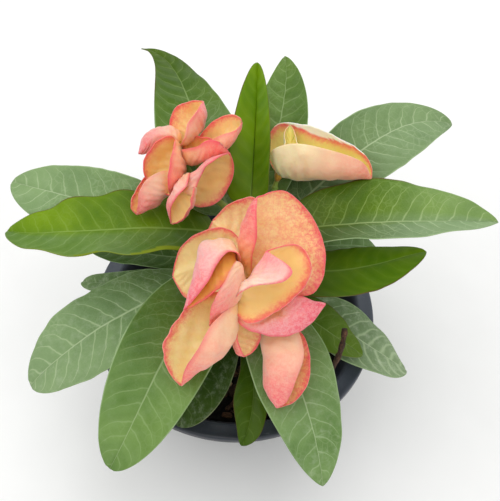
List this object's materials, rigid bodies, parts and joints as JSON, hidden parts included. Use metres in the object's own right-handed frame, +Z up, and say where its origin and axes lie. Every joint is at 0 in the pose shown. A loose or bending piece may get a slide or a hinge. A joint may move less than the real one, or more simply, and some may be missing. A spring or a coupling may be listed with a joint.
{
  "type": "potted crown of thorns plant",
  "caption": "Crown of thorns plant with long wavy leaves and peach bracts in clusters, on a thorny stem in a squat round nursery pot.",
  "frame": {"origin": "centre of the flat underside of the pot", "axes": "+Z up along the pot's axis; the side seen in the picture faces -Y; +X to its right"},
  "size_m": [0.2393, 0.2115, 0.191],
  "materials": {
    "pot": "satin",
    "soil": "matte",
    "bark": "matte",
    "twig": "matte",
    "stalk": "satin",
    "bract": "satin",
    "leaf_dusty": "satin",
    "leaf_glossy": "gloss"
  },
  "bodies": {
    "root": {"pot": "pot", "soil": "soil", "stem": "bark", "twig": "twig", "stalk_front": "stalk", "stalk_left": "stalk", "stalk_right": "stalk", "bloom_front_1": "bract", "bloom_front_2": "bract", "bloom_front_3": "bract", "bloom_front_4": "bract", "bloom_front_5": "bract", "bloom_left_1": "bract", "bloom_left_2": "bract", "bloom_left_3": "bract", "bloom_left_4": "bract", "bloom_right_1": "bract", "leaf_back_left": "leaf_dusty", "leaf_left_upper": "leaf_dusty", "leaf_left_bright": "leaf_glossy", "leaf_upright_bright": "leaf_glossy", "leaf_back_centre": "leaf_dusty", "leaf_back_right": "leaf_dusty", "leaf_right_bright": "leaf_glossy", "leaf_right_deep": "leaf_glossy", "leaf_right_hidden": "leaf_dusty", "leaf_behind_bloom": "leaf_dusty", "leaf_low_right_curved": "leaf_dusty", "leaf_low_right_short": "leaf_glossy", "leaf_front_right": "leaf_dusty", "leaf_front_narrow": "leaf_glossy", "leaf_front_dark": "leaf_glossy", "leaf_front_left": "leaf_dusty", "leaf_low_left": "leaf_dusty", "leaf_left_folded": "leaf_dusty", "leaf_left_shaded": "leaf_dusty"}
  },
  "joints": []
}
